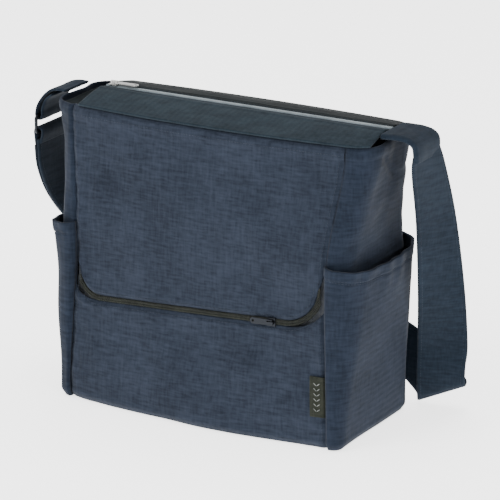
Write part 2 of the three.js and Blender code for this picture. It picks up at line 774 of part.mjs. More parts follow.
// The front zip's slider is turned so that its outer face looks forward and its
// gripping side looks up, towards the pocket's lip.
const frontSlider = new THREE.Group();
const frontSliderHeight = frontZipLine(FRONT_SLIDER_X, 0);
const frontSliderFace = wallDepth(-1, FRONT_SLIDER_X, frontSliderHeight);
const coilMiddle = 0.1 + COIL_THICKNESS / 2;
frontSlider.position.set(FRONT_SLIDER_X, -frontSliderFace + coilMiddle, frontSliderHeight);
const sliderX = vector(-1, 0, -FRONT_ZIP_TILT).normalize();
const sliderZ = vector(0, -1, 0);
const sliderY = sliderZ.clone().cross(sliderX);
frontSlider.quaternion.setFromRotationMatrix(new THREE.Matrix4().makeBasis(sliderX, sliderY, sliderZ));
addPiece('front_zip_slider', zipSlider(), metal(DARK_METAL), frontSlider);
const frontPull = addPiece('front_zip_pull', zipPull(FRONT_PULL_LENGTH), metal(DARK_METAL), frontSlider);
frontPull.position.set(PULL_HINGE_X, 0, SLIDER_DECK + PULL_HINGE_LIFT);
bag.add(frontSlider);

addPiece('right_strap_tab', rightStrapTab(), cloth(STRAP_BLUE));
addPiece('left_ring_tab', leftRingTab(), cloth(STRAP_BLUE));
addPiece('strap_ring_loop', strapRingLoop(), cloth(STRAP_BLUE));
addPiece('shoulder_strap', strip(strapEdges, 60, STRAP_THICKNESS, 0), cloth(STRAP_BLUE));
const layerStart = ADJUSTER_ALONG - 0.012;
const returnLayer = strip(strapEdges, 22, STRAP_THICKNESS, LAYER_LIFT, layerStart, 0.985);
addPiece('strap_return_layer', returnLayer, cloth(STRAP_BLUE));
const adjuster = addPiece('strap_adjuster', strapAdjuster(), metal(DARK_METAL));
placeOnStrap(adjuster);

const ring = addPiece('strap_ring', strapRing(), metal(DARK_METAL));
ring.quaternion.setFromRotationMatrix(
  new THREE.Matrix4().makeBasis(vector(0, 1, 0), vector(0, 0, 1), vector(1, 0, 0)),
);
ring.position.set(RING_X, 0, RING_TOP - RING_DROP / 2);

export default bag;
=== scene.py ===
import math

import bmesh
import bpy
from mathutils import Matrix, Vector, noise


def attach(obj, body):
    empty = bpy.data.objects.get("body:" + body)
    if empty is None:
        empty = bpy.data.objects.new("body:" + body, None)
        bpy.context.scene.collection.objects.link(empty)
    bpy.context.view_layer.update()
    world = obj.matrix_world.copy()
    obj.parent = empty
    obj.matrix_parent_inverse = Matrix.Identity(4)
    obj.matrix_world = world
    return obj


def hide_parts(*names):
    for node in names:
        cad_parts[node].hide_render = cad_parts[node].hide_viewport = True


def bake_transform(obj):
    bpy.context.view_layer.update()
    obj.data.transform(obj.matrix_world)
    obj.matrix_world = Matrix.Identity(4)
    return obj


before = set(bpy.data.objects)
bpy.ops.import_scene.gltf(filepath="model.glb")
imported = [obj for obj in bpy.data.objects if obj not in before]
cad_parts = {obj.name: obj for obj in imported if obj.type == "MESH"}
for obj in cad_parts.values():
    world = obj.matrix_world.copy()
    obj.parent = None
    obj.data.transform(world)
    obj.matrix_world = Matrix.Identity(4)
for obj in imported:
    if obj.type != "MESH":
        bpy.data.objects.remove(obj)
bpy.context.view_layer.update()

MM = 0.001

# ------------------------------------------------------------ sizes shared with the CAD, in mm

RIM = 328
FABRIC = 2.4
FOOT = 2.8
SEAM_HALF = [(0, 160), (190, 153), (RIM, 166)]
HALF_DEPTH = [(0, 79), (190, 73), (RIM, 56)]
CORNER = [(0, 14), (190, 25), (RIM, 31)]
FRONT_BOW = [(0, 12), (130, 0.8), (200, 0.8), (RIM, 10)]
BACK_BOW = [(0, 6), (RIM, 6)]
ZIP_TOP = 338
FLAP_LEFT, FLAP_RIGHT = -158, 190
ZIP_HEIGHT, ZIP_TILT = 127, 0.05
ZIP_RADIUS = {-1: 28, 1: 44}
ZIP_END_INSET = 4.5
LIP_HINGE = 187
POCKET_HEIGHT, POCKET_DIP, POCKET_FLARE, POCKET_GAP = 203, 8, 12, 1.4
STRAP_WIDTH, STRAP_THICK = 54, 3
ADJUSTER_ALONG = 12.4 / 19
RING_X, RING_TOP, RING_DROP = -231, 299, 18

# Looks only, in mm: where cloth starts at the base, how far its foot tucks under, the
# hem's two rows of stitches and where the swell dies out by the zip.
CLOTH_FOOT = FOOT - 1.5
FOOT_TUCK, FOOT_TUCK_REACH = 5.0, 9
HEM_STITCH_DROPS = (10.4, 12.6)
HEM_DEPTH = 12
ZIP_CALM_REACH = 16
LABEL_LOW, LABEL_HIGH, LABEL_WIDTH = 37, 81, 17

# Edge pairs of the shoulder strap, as in the CAD: inner or lower edge, outer or upper edge.
STRAP_STATIONS = [
    [(232, -27, 324), (232, 27, 324)], [(226, -20, 300), (238, 32, 300)],
    [(217, 10, 235), (239, 59, 235)], [(206, 39, 150), (241, 80, 150)],
    [(189, 74, 80), (239, 96, 80)], [(184, 84, 34), (236, 98, 52)],
    [(182, 90, 10), (234, 101, 34)], [(179, 97, 4), (232, 108, 27)],
    [(174, 101, 12), (226, 113, 36)], [(148, 101, 33), (182, 110, 75)],
    [(103, 97, 58), (122, 100, 108)], [(45, 95, 74), (58, 95, 126)],
    [(-30, 94, 88), (-20, 93, 141)], [(-100, 94, 101), (-90, 92, 154)],
    [(-160, 95, 116), (-147, 93, 168)], [(-205, 80, 136), (-182, 80, 184)],
    [(-232, 42, 158), (-209, 68, 199)], [(-238, 8, 196), (-221, 51, 224)],
    [(-233, -20, 238), (-229, 32, 246)], [(-231, -27, 272), (-231, 27, 272)],
]


# ------------------------------------------------------------ small maths

def clamp(value, low, high):
    return max(low, min(high, value))


def mix(a, b, part):
    return a + (b - a) * part


def ease(part):
    part = clamp(part, 0, 1)
    return part * part * (3 - 2 * part)


def value_at(stops, z):
    z = clamp(z, stops[0][0], stops[-1][0])
    for (low, first), (high, second) in zip(stops, stops[1:]):
        if z <= high:
            return mix(first, second, ease((z - low) / (high - low)))
    return stops[-1][1]


def ripple(x, y, z, size):
    """Smooth noise between about -1 and 1, with folds about size mm across."""
    return noise.noise(Vector((x, y, z)) / size) * 1.6


def near(distance, reach):
    """1 on an edge, falling to 0 at reach mm from it."""
    return 1 - ease(abs(distance) / reach)


# ------------------------------------------------------------ the bag's walls

def wall_depth(side, x, z):
    seam = value_at(SEAM_HALF, z)
    depth = value_at(HALF_DEPTH, z)
    past = abs(x) - seam
    if past > 0:
        radius = value_at(CORNER, z)
        return depth - radius + math.sqrt(max(0, radius ** 2 - past ** 2))
    bow = value_at(FRONT_BOW if side < 0 else BACK_BOW, z)
    return depth + bow * (1 - (x / seam) ** 2)


def side_point(hand, around, z, inset):
    seam = value_at(SEAM_HALF, z)
    depth = value_at(HALF_DEPTH, z)
    radius = value_at(CORNER, z)
    end = -1 if around < 0.5 else 1
    from_end = min(around, 1 - around)
    if from_end < 0.3:
        angle = from_end / 0.3 * math.pi / 2
        x = seam + (radius - inset) * math.sin(angle)
        y = end * (depth - radius + (radius - inset) * math.cos(angle))
        return Vector((hand * x, y, z))
    y = mix(-1, 1, (around - 0.3) / 0.4) * (depth - radius)
    return Vector((hand * (seam + radius - inset), y, z))


def zip_line(x, beside):
    """Height of a line beside the front zip; beside > 0 is above its middle."""
    hand = -1 if x < 0 else 1
    radius = ZIP_RADIUS[hand]
    middle = ZIP_HEIGHT + ZIP_TILT * x
    end = value_at(SEAM_HALF, middle + radius) - ZIP_END_INSET
    corner_x = end - radius
    corner_z = ZIP_HEIGHT + ZIP_TILT * hand * corner_x + radius
    past = abs(x) - corner_x
    if past <= 0:
        return middle + beside
    return corner_z - math.sqrt(max(0, (radius - beside) ** 2 - past ** 2))


def zip_reach(beside):
    return value_at(SEAM_HALF, 160) - ZIP_END_INSET - beside


def foot_tuck(z):
    return FOOT_TUCK * near(z, FOOT_TUCK_REACH)


def front_swell(x, z):
    """How far the front cloth stands out from its plain wall, in mm."""
    seam = value_at(SEAM_HALF, z)
    puff = 1.5 * (1 - (x / seam) ** 4)
    folds = 1.5 * ripple(x, 10, z * 1.6, 80) + 0.55 * ripple(x, 40, z, 28)
    corner = near(abs(x) - seam, 50) * ripple(x * 2, 70, z, 22) * 0.8
    seam_dip = -2.6 * near(abs(x) - seam, 6)
    pucker = near(abs(x) - seam, 14) * 0.5 * math.sin(z / 3.6 + 2 * ripple(x, 5, z, 30))
    flat_by_zip = 1 - 0.85 * near(z - zip_line(x, 0), ZIP_CALM_REACH)
    return (puff * 0.6 + folds) * flat_by_zip + corner + seam_dip + pucker


# ------------------------------------------------------------ mesh builders

def link(name, mesh, material, body=None, replaced=()):
    piece = bpy.data.objects.new(name, mesh)
    bpy.context.scene.collection.objects.link(piece)
    mesh.materials.append(material)
    for polygon in mesh.polygons:
        polygon.use_smooth = True
    if body:
        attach(piece, body)
    if replaced:
        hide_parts(*replaced)
    return piece


def sheet_mesh(name, across_steps, along_steps, place):
    """A closed sheet of cloth; place(across, along, face) gives a point in mm."""
    columns = across_steps + 1
    layer = columns * (along_steps + 1)
    points = []
    for face in (0, 1):
        for j in range(along_steps + 1):
            for i in range(columns):
                points.append(Vector(place(i / across_steps, j / along_steps, face)) * MM)
    quads = []

    def at(i, j, face):
        return face * layer + j * columns + i

    for j in range(along_steps):
        for i in range(across_steps):
            quads.append((at(i, j, 0), at(i + 1, j, 0), at(i + 1, j + 1, 0), at(i, j + 1, 0)))
            quads.append((at(i, j, 1), at(i, j + 1, 1), at(i + 1, j + 1, 1), at(i + 1, j, 1)))
    last = along_steps
    for i in range(across_steps):
        quads.append((at(i, 0, 0), at(i, 0, 1), at(i + 1, 0, 1), at(i + 1, 0, 0)))
        quads.append((at(i, last, 0), at(i + 1, last, 0), at(i + 1, last, 1), at(i, last, 1)))
    last = across_steps
    for j in range(along_steps):
        quads.append((at(0, j, 0), at(0, j + 1, 0), at(0, j + 1, 1), at(0, j, 1)))
        quads.append((at(last, j, 0), at(last, j, 1), at(last, j + 1, 1), at(last, j + 1, 0)))
    mesh = bpy.data.meshes.new(name)
    mesh.from_pydata(points, [], quads)
    work = bmesh.new()
    work.from_mesh(mesh)
    bmesh.ops.recalc_face_normals(work, faces=work.faces)
    work.to_mesh(mesh)
    work.free()
    return mesh


def box_run(name, places, size):
    """Many small rounded bars in one mesh; places gives (centre, along, up) in mm."""
    work = bmesh.new()
    for centre, along, up in places:
        along = along.normalized()
        side = up.cross(along).normalized()
        up = along.cross(side).normalized()
        turn = Matrix((along, side, up)).transposed()
        ends = []
        for end, grow in ((-0.5, 0.45), (-0.3, 1), (0.3, 1), (0.5, 0.45)):
            ring = []
            for corner in range(6):
                angle = corner * math.pi / 3
                local = Vector((end * size[0], math.cos(angle) * size[1] / 2 * grow,
                                math.sin(angle) * size[2] / 2 * grow))
                ring.append(work.verts.new((centre + turn @ local) * MM))
            ends.append(ring)
        for first, second in zip(ends, ends[1:]):
            for k in range(6):
                n = (k + 1) % 6
                work.faces.new((first[k], first[n], second[n], second[k]))
        work.faces.new(list(reversed(ends[0])))
        work.faces.new(ends[-1])
    bmesh.ops.recalc_face_normals(work, faces=work.faces)
    mesh = bpy.data.meshes.new(name)
    work.to_mesh(mesh)
    work.free()
    return mesh


def run_along(points, spacing):
    """Evenly spaced (position, direction) pairs along a list of points."""
    out = []
    left = spacing / 2
    for a, b in zip(points, points[1:]):
        length = (b - a).length
        while left <= length and length > 0:
            out.append((a.lerp(b, left / length), (b - a).normalized()))
            left += spacing
        left -= length
    return out


def stitches(name, points, up, body, material, spacing=3.4, length=2.5, thick=0.55):
    places = [(place, direction, up) for place, direction in run_along(points, spacing)]
    mesh = box_run(name, places, (length, thick, thick * 0.8))
    return link(name, mesh, material, body)


# ------------------------------------------------------------ materials

def shader(name, rough, metal=0.0):
    material = bpy.data.materials.new(name)
    material.use_nodes = True
    nodes = material.node_tree.nodes
    principled = nodes["Principled BSDF"]
    principled.inputs["Roughness"].default_value = rough
    principled.inputs["Metallic"].default_value = metal
    return material, nodes, material.node_tree.links, principled


def noise_node(nodes, links, coordinates, scale, detail=3.0):
    node = nodes.new("ShaderNodeTexNoise")
    node.inputs["Scale"].default_value = scale
    node.inputs["Detail"].default_value = detail
    links.new(coordinates, node.inputs["Vector"])
    return node


def weave_height(nodes, links, coordinates, threads_per_metre):
    """Over-and-under threads: two crossed waves added together."""
    waves = []
    for direction in ("X", "Z"):
        wave = nodes.new("ShaderNodeTexWave")
        wave.bands_direction = direction
        wave.inputs["Scale"].default_value = threads_per_metre / 20
        wave.inputs["Distortion"].default_value = 0.6
        wave.inputs["Detail"].default_value = 1.0
        wave.inputs["Detail Scale"].default_value = 2.0
        links.new(coordinates, wave.inputs["Vector"])
        waves.append(wave)
    total = nodes.new("ShaderNodeMath")
    total.operation = "ADD"
    links.new(waves[0].outputs["Fac"], total.inputs[0])
    links.new(waves[1].outputs["Fac"], total.inputs[1])
    return total


def crossed_slubs(nodes, links, coordinates, scale):
    """Thick and thin places of the yarn: noise drawn out across the cloth and up it."""
    drawn = []
    for stretch in ((0.16, 0.16, 1.0), (1.0, 1.0, 0.16)):
        mapping = nodes.new("ShaderNodeMapping")
        mapping.inputs["Scale"].default_value = stretch
        links.new(coordinates, mapping.inputs["Vector"])
        drawn.append(noise_node(nodes, links, mapping.outputs["Vector"], scale, 3.0))
    average = nodes.new("ShaderNodeMix")
    average.inputs["Factor"].default_value = 0.42
    links.new(drawn[0].outputs["Fac"], average.inputs[2])
    links.new(drawn[1].outputs["Fac"], average.inputs[3])
    return average


def fabric(name, dark, light, threads=900, heather=420, bump=0.25, sheen=0.03, rough=0.92):
    material, nodes, links, principled = shader(name, rough)
    coordinates = nodes.new("ShaderNodeTexCoord").outputs["Object"]
    speckle = crossed_slubs(nodes, links, coordinates, heather)
    cloud = noise_node(nodes, links, coordinates, 18, 2.0)
    blend = nodes.new("ShaderNodeMath")
    blend.operation = "MULTIPLY_ADD"
    blend.inputs[1].default_value = 0.35
    links.new(cloud.outputs["Fac"], blend.inputs[0])
    links.new(speckle.outputs[0], blend.inputs[2])
    ramp = nodes.new("ShaderNodeValToRGB")
    ramp.color_ramp.elements[0].position = 0.50
    ramp.color_ramp.elements[1].position = 0.86
    ramp.color_ramp.elements[0].color = (*dark, 1)
    ramp.color_ramp.elements[1].color = (*light, 1)
    links.new(blend.outputs[0], ramp.inputs["Fac"])
    links.new(ramp.outputs["Color"], principled.inputs["Base Color"])
    weave = weave_height(nodes, links, coordinates, threads)
    relief = nodes.new("ShaderNodeMath")
    relief.operation = "ADD"
    links.new(weave.outputs[0], relief.inputs[0])
    links.new(speckle.outputs[0], relief.inputs[1])
    node = nodes.new("ShaderNodeBump")
    node.inputs["Strength"].default_value = bump
    node.inputs["Distance"].default_value = 0.0006
    links.new(relief.outputs[0], node.inputs["Height"])
    links.new(node.outputs["Normal"], principled.inputs["Normal"])
    principled.inputs["Specular IOR Level"].default_value = 0.12
    principled.inputs["Sheen Weight"].default_value = sheen
    principled.inputs["Sheen Roughness"].default_value = 0.5
    return material


def metal_finish(name, color, rough):
    material, nodes, links, principled = shader(name, rough, 1.0)
    coordinates = nodes.new("ShaderNodeTexCoord").outputs["Object"]
    wear = noise_node(nodes, links, coordinates, 350, 4.0)
    ramp = nodes.new("ShaderNodeValToRGB")
    ramp.color_ramp.elements[0].color = (*[c * 0.8 for c in color], 1)
    ramp.color_ramp.elements[1].color = (*color, 1)
    links.new(wear.outputs["Fac"], ramp.inputs["Fac"])
    links.new(ramp.outputs["Color"], principled.inputs["Base Color"])
    spread = nodes.new("ShaderNodeMapRange")
    spread.inputs["To Min"].default_value = rough * 0.8
    spread.inputs["To Max"].default_value = rough * 1.3
    links.new(wear.outputs["Fac"], spread.inputs["Value"])
    links.new(spread.outputs["Result"], principled.inputs["Roughness"])
    return material


FRONT = fabric("front_fabric", (0.0075, 0.0108, 0.0182), (0.0205, 0.0272, 0.0420))
# painted shade: the sides, side pockets and base get a darker copy of the front cloth, the shade on walls
# turned away from the light painted into their colour
SIDE_WITH_PAINTED_SHADE = fabric("side_fabric", (0.0052, 0.0084, 0.0152), (0.0140, 0.0200, 0.0335))
BAND = fabric("band_fabric", (0.0062, 0.0112, 0.0160), (0.0155, 0.0250, 0.0335))
# painted shade: a near-black copy of the navy cloth for the back top flap and the end gusset, so the shade
# behind the zip ridge and in the tucked fold is painted into their colour
PAINTED_SHADE_FABRIC = fabric("dark_fabric", (0.0020, 0.0036, 0.0044), (0.0060, 0.0095, 0.0110))
WEBBING = fabric("strap_webbing", (0.0042, 0.0080, 0.0140), (0.0105, 0.0172, 0.0275), threads=600, bump=0.35)
LINING = fabric("lining_fabric", (0.12, 0.13, 0.15), (0.20, 0.21, 0.23), threads=1400)
THREAD = fabric("stitch_thread", (0.010, 0.014, 0.022), (0.034, 0.043, 0.060), threads=3000)
LABEL = fabric("label_weave", (0.010, 0.012, 0.009), (0.022, 0.024, 0.018), threads=2200)
LABEL_THREAD = fabric("label_thread", (0.14, 0.15, 0.14), (0.22, 0.23, 0.22), threads=3000)
DARK_ZIP = fabric("dark_zip", (0.008, 0.009, 0.008), (0.030, 0.033, 0.026), rough=0.35, sheen=0.0)
SILVER_ZIP = fabric("silver_zip", (0.17, 0.20, 0.22), (0.30, 0.34, 0.36), rough=0.4, sheen=0.0)
SILVER_TAPE = fabric("silver_tape", (0.10, 0.125, 0.14), (0.18, 0.21, 0.23), threads=1600)
BOARD = fabric("base_board", (0.03, 0.03, 0.03), (0.05, 0.05, 0.05), rough=0.6, sheen=0.0)
SILVER = metal_finish("silver_metal", (0.72, 0.72, 0.70), 0.28)
GUNMETAL = metal_finish("dark_metal", (0.022, 0.024, 0.028), 0.4)


def dress(node, material):
    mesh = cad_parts[node].data
    mesh.materials.clear()
    mesh.materials.append(material)


# ------------------------------------------------------------ front

GRID = 1.0


def steps(count):
    return max(4, int(count * GRID))


def front_point(x, z, out):
    return (x, -wall_depth(-1, x, z) - out, z)


def crowded(part):
    """-1 to 1 across the cloth, with its steps crowded at both ends."""
    return math.sin((part - 0.5) * math.pi)


def zip_edge(to_zip):
    """The cloth turns in at the zip and stands up a little over its stitching."""
    return -1.6 * near(to_zip, 3.0) + 0.9 * near(to_zip - 6.5, 4)


def front_lower():
    def place(across, along, face):
        top_x = crowded(across) * (zip_reach(0) - 3.3)
        top = zip_line(top_x, -3.0)
        z = mix(CLOTH_FOOT, top, along)
        x = crowded(across) * (value_at(SEAM_HALF, z) - 0.1)
        to_zip = top - z
        out = front_swell(x, z) + zip_edge(to_zip)
        out -= foot_tuck(z)
        sag = 1.8 * near(z - 46, 60) * (1 - (x / 170) ** 2)
        return front_point(x, z, out + sag - face * FABRIC)
    mesh = sheet_mesh("front_lower", steps(190), steps(90), place)
    return link("front_lower", mesh, FRONT, "bag", ["front_lower_panel"])


def front_upper():
    """The upper front and the pocket's lip are one cloth, from the zip up to the rim."""
    def place(across, along, face):
        low_x = crowded(across) * zip_reach(3.0)
        low = zip_line(low_x, 3.0)
        z = mix(low, RIM, along)
        full = value_at(SEAM_HALF, z) - 0.1
        reach = mix(zip_reach(3.0), full, ease((z - low) / 26))
        x = crowded(across) * reach
        to_zip = z - low
        out = front_swell(x, z) + zip_edge(to_zip)
        out += 1.2 * near(RIM - 9 - z, 8) - 3.2 * near(RIM - z, 4)
        return front_point(x, z, out - face * FABRIC)
    mesh = sheet_mesh("front_upper", steps(190), steps(110), place)
    piece = link("front_upper", mesh, FRONT, None, ())
    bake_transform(piece)
    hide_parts("front_upper_panel", "front_pocket_lip")
    return piece


def front_zip_path(beside, inset, count=160):
    points = []
    for i in range(count + 1):
        x = crowded(i / count) * min(zip_reach(beside), zip_reach(0) - 0.6)
        z = zip_line(x, beside)
        points.append(Vector((x, -wall_depth(-1, x, z) + inset, z)))
    return points


def front_zip(side, body, node):
    tape = front_zip_path(side * 3.4, 2.6)
    near_edge = front_zip_path(side * 0.5, 0.9)

    def place(across, along, face):
        i = min(len(tape) - 1, int(round(along * (len(tape) - 1))))
        p = near_edge[i].lerp(tape[i], across)
        return p + Vector((0, face * 1.0, 0))
    mesh = sheet_mesh(node + "_tape", 4, len(tape) - 1, place)
    link(node + "_tape", mesh, DARK_ZIP, body, [node])
    middle = front_zip_path(side * 1.3, 0.2)
    places = []
    for p, d in run_along(middle, 1.5):
        across = Vector((0, -1, 0)).cross(d)
        places.append((p, across, Vector((0, -1, 0))))
    teeth = box_run(node + "_teeth", places, (3.0, 1.15, 1.7))
    link(node + "_teeth", teeth, DARK_ZIP, body, ())


def woven_label():
    def place(across, along, face):
        z = mix(LABEL_LOW, LABEL_HIGH, along)
        x = value_at(SEAM_HALF, z) - 0.3 - LABEL_WIDTH * (1 - across)
        lift = 1.2 + 0.5 * math.sin(along * math.pi) + 0.5 * (1 - across)
        dip = -2.2 * near(1 - across, 0.12)
        return front_point(x, z, max(0.6, front_swell(x, z)) * 0.3 + lift + dip - face * 0.7)
    mesh = sheet_mesh("label", 30, 60, place)
    link("label", mesh, LABEL, "bag", ["woven_label"])
    places = []
    for row in range(6):
        z = LABEL_LOW + 8 + row * 5.6
        for leg in (-1, 1):
            x = value_at(SEAM_HALF, z) - 9.2 + leg * 1.9
            y = -wall_depth(-1, x, z) - 2.6
            places.append((Vector((x, y, z)), Vector((1, 0, leg * 0.8)), Vector((0, -1, 0))))
    marks = box_run("label_pattern", places, (4.4, 0.8, 0.7))
    link("label_pattern", marks, LABEL_THREAD, "bag", ())


# ------------------------------------------------------------ sides, back and base

def side_swell(hand, around, z):
    folds = 2.6 * ripple(around * 160, hand * 50, z * 0.7, 50) + 0.9 * ripple(around * 160, hand * 9, z, 22)
    hollow = -3.0 * math.sin(math.pi * around) * math.sin(math.pi * clamp((z - 190) / 138, 0, 1))
    crease = 1.8 * near(z - (300 + 16 * math.sin(around * 7)), 9) * math.sin(math.pi * around)
    from_seam = min(around, 1 - around) * 190
    return folds * ease(from_seam / 20) + hollow - crease - 2.4 * near(from_seam, 5)


def side_panel(hand, name):
    def place(across, along, face):
        z = mix(CLOTH_FOOT, RIM, along)
        swell = side_swell(hand, across, z) - foot_tuck(z)
        swell += 1.0 * near(RIM - 9 - z, 8) - 1.6 * near(RIM - z, 4)
        if z < 190:
            swell = min(swell, 0.2)
        return side_point(hand, across, z, face * FABRIC - swell)
    mesh = sheet_mesh(name, steps(110), steps(150), place)
    # side walls in the darker painted-shade copy of the front cloth
    return link(name, mesh, SIDE_WITH_PAINTED_SHADE, "bag", [name + "_panel"])


def pocket_top(around):
    return POCKET_HEIGHT - POCKET_DIP * math.sin(math.pi * around)


def pocket_point(hand, around, z, depth):
    flare = POCKET_FLARE * (max(0, z) / POCKET_HEIGHT) ** 1.3
    stand = POCKET_GAP + flare * math.sin(math.pi * clamp(around, 0, 1)) ** 0.6
    return side_point(hand, around, z, -(stand + depth))


def side_pocket(hand, side):
    def place(across, along, face):
        top = pocket_top(across)
        z = mix(CLOTH_FOOT, top, along)
        to_top = top - z
        gathers = 0.9 * math.sin(across * 46 + 2 * ripple(across * 90, hand, z, 30)) * near(to_top, 46)
        gathers += 1.5 * ripple(across * 150, hand * 30, z * 0.6, 42)
        from_seam = min(across, 1 - across) * 200
        swell = gathers * ease(from_seam / 18) - 1.2 * near(to_top - HEM_DEPTH, 2.0)
        swell -= 0.9 * foot_tuck(z) + 2.8 * near(from_seam, 6)
        thick = FABRIC + 0.9 * (1 if to_top < HEM_DEPTH else 0)
        return pocket_point(hand, across, z, swell + (1 - face) * thick)
    name = side + "_pocket"
    mesh = sheet_mesh(name, steps(120), steps(110), place)
    # side pockets in the darker painted-shade copy of the front cloth
    link(name, mesh, SIDE_WITH_PAINTED_SHADE, "bag", [side + "_side_pocket", side + "_pocket_hem"])
    for row, drop in enumerate(HEM_STITCH_DROPS):
        path = []
        for i in range(121):
            around = mix(0.03, 0.97, i / 120)
            z = pocket_top(around) - drop
            path.append(pocket_point(hand, around, z, FABRIC + 0.7))
        stitches(f"{side}_hem_stitch_{row}", path, Vector((hand, 0, 0)), "bag", THREAD)


def back_panel():
    def place(across, along, face):
        z = mix(CLOTH_FOOT, RIM, along)
        x = mix(-1, 1, across) * (value_at(SEAM_HALF, z) - 0.1)
        swell = 0.7 * ripple(x, 200, z, 80) - 2.4 * near(abs(x) - value_at(SEAM_HALF, z), 6)
        swell -= foot_tuck(z) + 1.6 * near(RIM - z, 4)
        return (x, wall_depth(1, x, z) + swell - face * FABRIC, z)
    mesh = sheet_mesh("back", steps(150), steps(130), place)
    link("back", mesh, FRONT, "bag", ["back_panel"])


def base_panel():
    low = 0.3

    def place(across, along, face):
        y_part = mix(-1, 1, along)
        x_part = mix(-1, 1, across)
        edge = max(abs(x_part), abs(y_part))
        x = x_part * 171 * math.sqrt(1 - 0.06 * y_part ** 2)
        bow = 8 if y_part < 0 else 4
        y = y_part * (75 + bow * (1 - x_part ** 2)) * math.sqrt(1 - 0.10 * x_part ** 4)
        return (x, y, low + 3.5 * max(0, edge - 0.96) / 0.04 + (1 - face) * 2.0)
    mesh = sheet_mesh("base", steps(90), steps(50), place)
    # base in the darker painted-shade copy of the front cloth
    link("base", mesh, SIDE_WITH_PAINTED_SHADE, "bag", ["bottom_panel"])


# ------------------------------------------------------------ zipped top

def top_flap(side, node, material):
    def place(across, along, face):
        x = mix(FLAP_LEFT, FLAP_RIGHT, across)
        rim = wall_depth(side, x, RIM) - 0.6
        y = side * mix(rim, 3.0, along)
        middle = mix(RIM + 1.4, ZIP_TOP, math.sin(along * math.pi / 2))
        sag = 0.9 * ripple(x, side * 60, y, 45) * math.sin(math.pi * along)
        sag -= 0.8 * near(1 - along, 0.12) - 0.7 * near(along - 0.82, 0.08)
        return (x, y, middle + sag + (0.5 - face) * 2.2)
    mesh = sheet_mesh(node + "_cloth", steps(170), steps(36), place)
    piece = link(node + "_cloth", mesh, material, None, ())
    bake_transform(piece)
    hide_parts(node)


def top_zip(side, body, node):
    start, end = FLAP_LEFT + 2, FLAP_RIGHT + 2

    def place(across, along, face):
        return (mix(start, end, along), side * mix(0.7, 3.6, across), ZIP_TOP + 0.9 - face * 1.6)
    mesh = sheet_mesh(node + "_tape", 3, 60, place)
    link(node + "_tape", mesh, SILVER_TAPE, body, [node])
    places = []
    count = int((end - start) / 1.5)
    for i in range(count):
        x = start + (i + (0.5 if side > 0 else 0.0)) * 1.5
        places.append((Vector((x, side * 1.1, ZIP_TOP + 1.0)), Vector((0, 1, 0)), Vector((0, 0, 1))))
    teeth = box_run(node + "_teeth", places, (2.9, 1.1, 1.5))
    link(node + "_teeth", teeth, SILVER_ZIP, body, ())


def end_gusset():
    def place(across, along, face):
        x = mix(-192, FLAP_LEFT - 1, along)
        y = mix(-40, 40, across) * (1 - 0.10 * (1 - along))
        z = RIM - 5 - 8 * math.sin(along * math.pi / 2) + 0.8 * ripple(x, y, 0, 18)
        return (x, y, z - face * 1.5)
    mesh = sheet_mesh("end_gusset", 40, 24, place)
    # painted shade: the tucked-in end gusset is dressed in the near-black shade fabric
    link("end_gusset", mesh, PAINTED_SHADE_FABRIC, "bag", ["left_end_gusset"])


# ------------------------------------------------------------ strap, tabs and ring

def catmull(points, t):
    count = len(points) - 1
    place = clamp(t, 0, 1) * count
    i = min(int(place), count - 1)
    f = place - i
    p = [Vector(points[clamp(i + k, 0, count)]) for k in (-1, 0, 1, 2)]
    a = 2 * p[1]
    b = (p[2] - p[0]) * f
    c = (2 * p[0] - 5 * p[1] + 4 * p[2] - p[3]) * f * f
    d = (-p[0] + 3 * p[1] - 3 * p[2] + p[3]) * f ** 3
    return (a + b + c + d) * 0.5


def strap_frame(t):
    inner_line = [pair[0] for pair in STRAP_STATIONS]
    outer_line = [pair[1] for pair in STRAP_STATIONS]
    inner = catmull(inner_line, t)
    outer = catmull(outer_line, t)
    step = 0.004
    later = catmull(inner_line, t + step) + catmull(outer_line, t + step)
    before = catmull(inner_line, t - step) + catmull(outer_line, t - step)
    out = (later - before).cross(outer - inner).normalized()
    return inner, outer, out


def strap_strip(name, lift, start, end, node, count):
    frames = [strap_frame(mix(start, end, j / count)) for j in range(count + 1)]

    def place(across, along, face):
        inner, outer, out = frames[int(round(along * count))]
        edge = min(across, 1 - across) * STRAP_WIDTH
        thick = STRAP_THICK * (0.45 + 0.55 * math.sqrt(clamp(edge / 1.6, 0, 1)))
        pad = 0.35 * near(edge - 5.5, 1.6)
        return inner.lerp(outer, across) + out * (lift + (0.5 - face) * (thick - pad))
    mesh = sheet_mesh(name, 28, count, place)
    link(name, mesh, WEBBING, "strap", [node])
    for edge_name, part in (("inner", 0.085), ("outer", 0.915)):
        for face_name, face in (("out", 1), ("in", -1)):
            path = []
            for inner, outer, out in frames:
                path.append(inner.lerp(outer, part) + out * (lift + face * (STRAP_THICK / 2 - 0.15)))
            stitches(f"{name}_{edge_name}_{face_name}", path, Vector((0.6, -0.6, 0.4)), "strap", THREAD)


